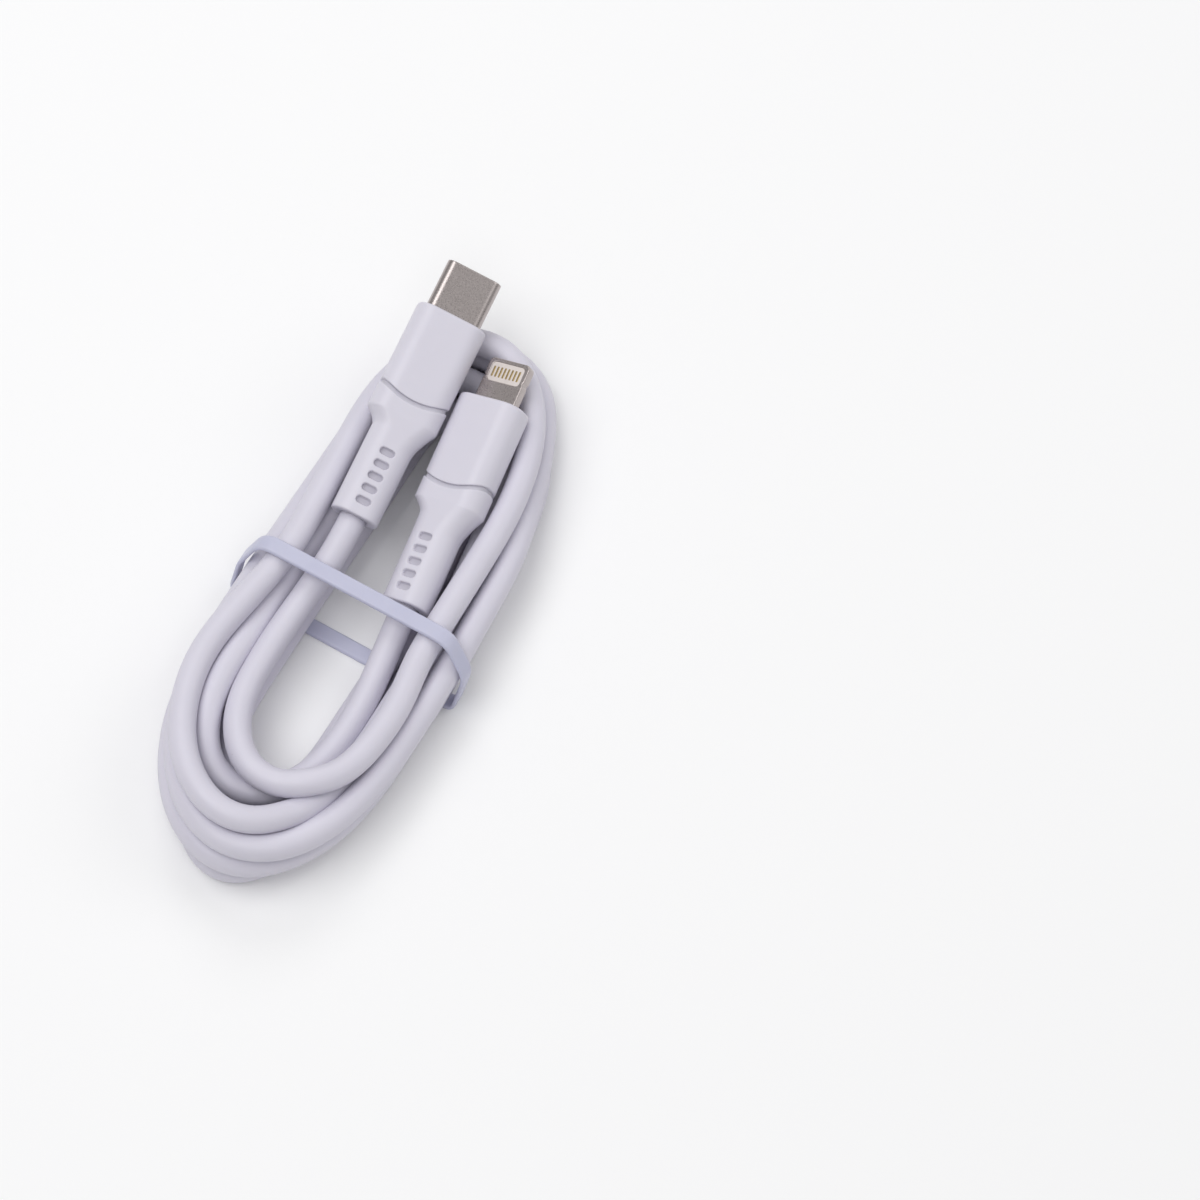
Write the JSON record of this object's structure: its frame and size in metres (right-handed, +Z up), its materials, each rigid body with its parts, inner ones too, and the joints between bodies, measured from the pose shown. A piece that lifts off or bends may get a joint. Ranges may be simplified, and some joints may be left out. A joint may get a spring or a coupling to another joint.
{
  "type": "charging cable",
  "caption": "White phone charging cable wound into a flat oval hank, with a wide oval metal plug and a thin flat metal plug side by side and a stretch band round the middle.",
  "frame": {"origin": "centre of the overall box in plan, on the surface that the hank lies on", "axes": "+X along the hank towards the plug tips, +Y to the left of a plug seen from above and behind, +Z up"},
  "size_m": [0.092, 0.0372, 0.019],
  "materials": {
    "plug_steel": "satin nickel plate",
    "shield_steel": "bright tinned sheet",
    "contact_gold": "gold plate",
    "insulator_black": "matt black",
    "board_green": "green solder mask",
    "mould_white": "soft white filling",
    "body_white": "satin white",
    "boot_white": "satin white",
    "bed_white": "warm white",
    "jacket_white": "satin white jacket",
    "wire_insulation": "plain",
    "band_white": "bluish white elastic"
  },
  "bodies": {
    "hank": {"cord_coil": "jacket_white", "cord_charger_run": "jacket_white", "cord_phone_run": "jacket_white"},
    "charger_end": {"charger_shell": "plug_steel", "charger_insulator": "insulator_black", "charger_contacts_top": "contact_gold", "charger_contacts_bottom": "contact_gold", "charger_latches": "plug_steel", "charger_board": "board_green", "charger_chip": "insulator_black", "charger_shield": "shield_steel", "charger_inner_mould": "mould_white", "charger_body": "body_white", "charger_boot": "boot_white", "charger_ferrule": "shield_steel", "charger_wires": "wire_insulation", "charger_cord_stub": "jacket_white"},
    "phone_end": {"phone_plug_frame": "plug_steel", "phone_contact_bed": "bed_white", "phone_contacts_top": "contact_gold", "phone_contacts_bottom": "contact_gold", "phone_board": "board_green", "phone_chip": "insulator_black", "phone_shield": "shield_steel", "phone_inner_mould": "mould_white", "phone_body": "body_white", "phone_boot": "boot_white", "phone_ferrule": "shield_steel", "phone_wires": "wire_insulation", "phone_cord_stub": "jacket_white"},
    "band": {"tie_band": "band_white"}
  },
  "joints": [
    {"name": "charger_boot_bend", "type": "hinge", "parent": "hank", "child": "charger_end", "pos_m": [0.01247, 0.00708, 0.0114], "axis": [0.0785, -0.9969, 0], "range_deg": [0, 25], "stiffness_Nm_per_rad": 0.03, "deforming": ["charger_boot", "charger_cord_stub"]},
    {"name": "phone_boot_bend", "type": "hinge", "parent": "hank", "child": "phone_end", "pos_m": [0.00526, -0.00524, 0.0091], "axis": [0.1504, -0.9547, -0.2567], "range_deg": [0, 25], "stiffness_Nm_per_rad": 0.03, "deforming": ["phone_boot", "phone_cord_stub"]},
    {"name": "band_slide", "type": "slide", "parent": "hank", "child": "band", "axis": [1, 0, 0], "range_m": [-0.009, 0]}
  ]
}
